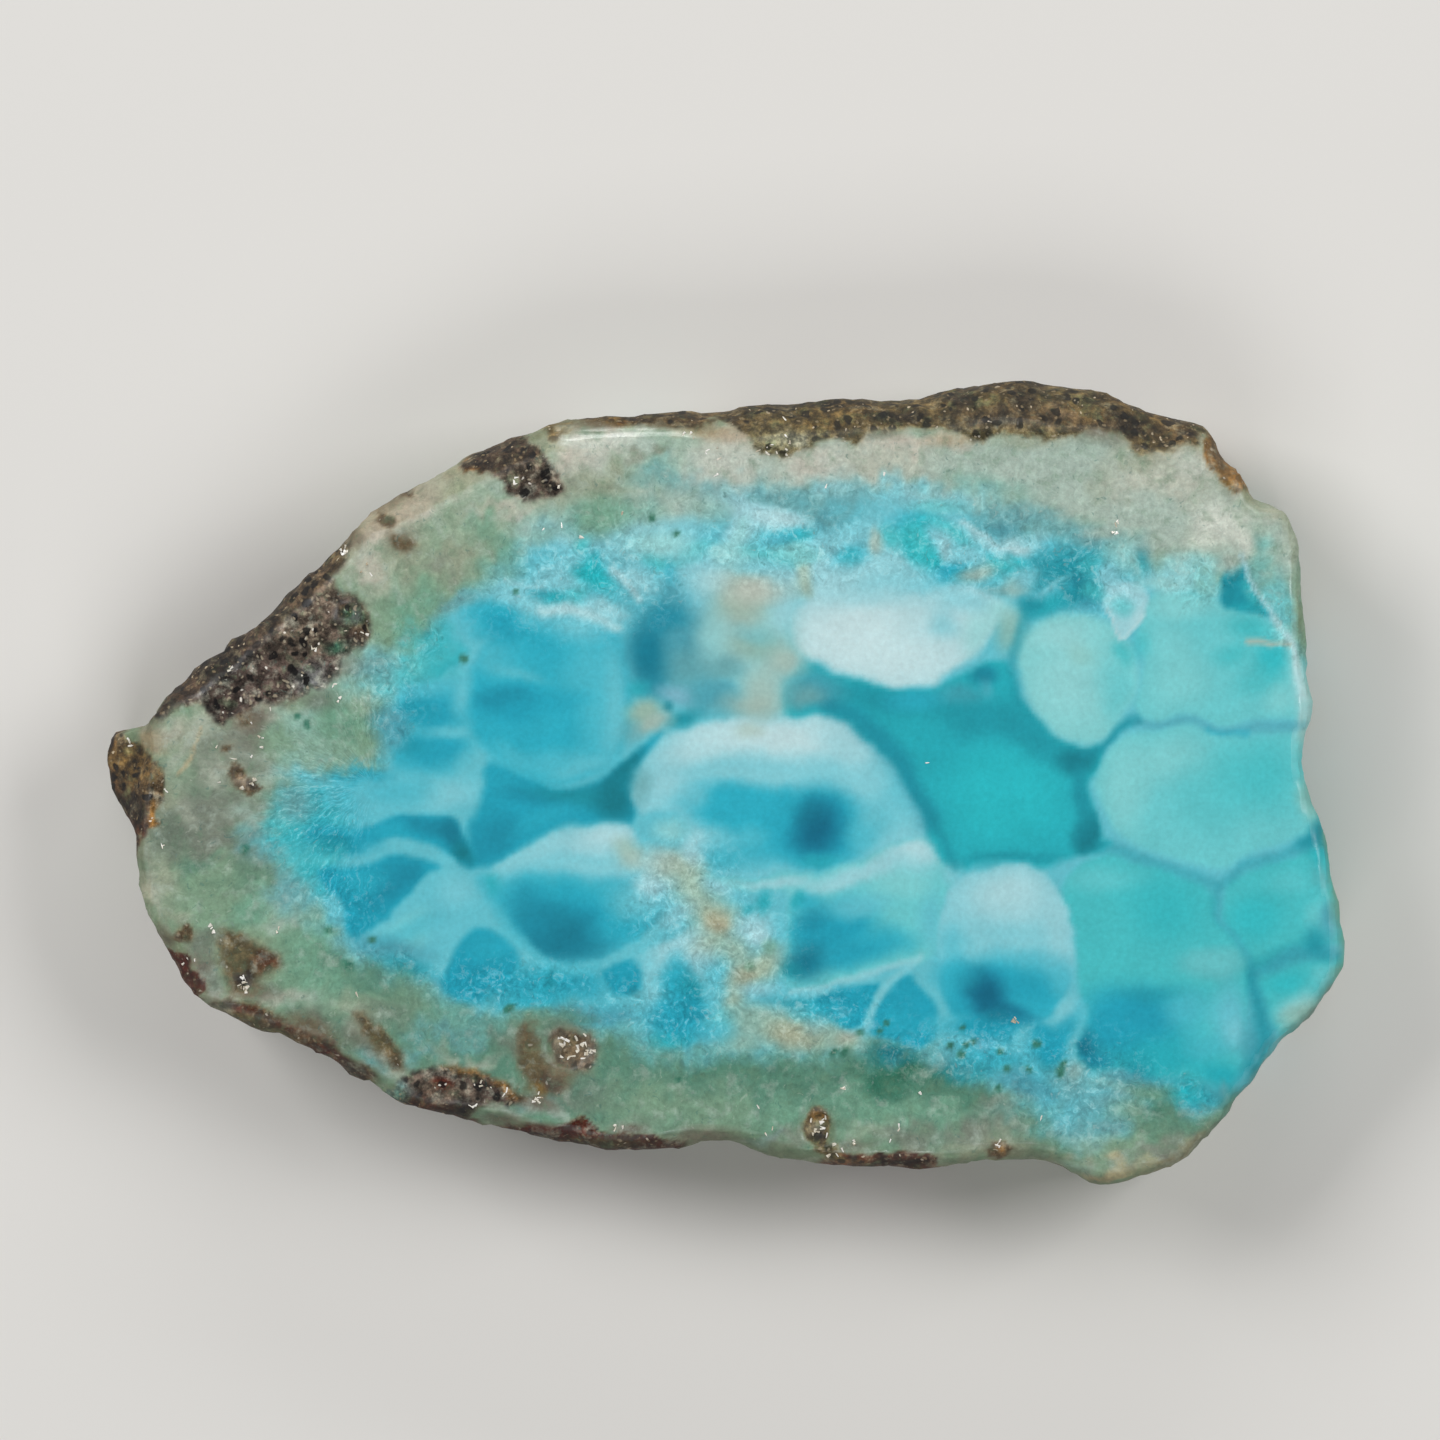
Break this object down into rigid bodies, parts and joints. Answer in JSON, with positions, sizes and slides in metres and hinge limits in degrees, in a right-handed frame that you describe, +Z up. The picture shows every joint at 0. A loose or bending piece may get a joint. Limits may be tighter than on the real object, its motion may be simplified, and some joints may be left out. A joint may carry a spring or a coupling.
{
  "type": "larimar slab",
  "caption": "Polished slice of blue larimar with rounded cells, a pitted host-rock rim and a flat back to lie on.",
  "frame": {"origin": "under the middle of the bounding box, on the flat back that the stone lies on", "axes": "+X along the length, from the knob of host rock to the broad end; +Y across the face, towards the thick band of host rock; +Z up through the thickness, out of the polished face"},
  "size_m": [0.06, 0.0386, 0.008],
  "materials": {
    "larimar": "gloss"
  },
  "bodies": {
    "root": {"larimar_slab": "larimar"}
  },
  "joints": []
}
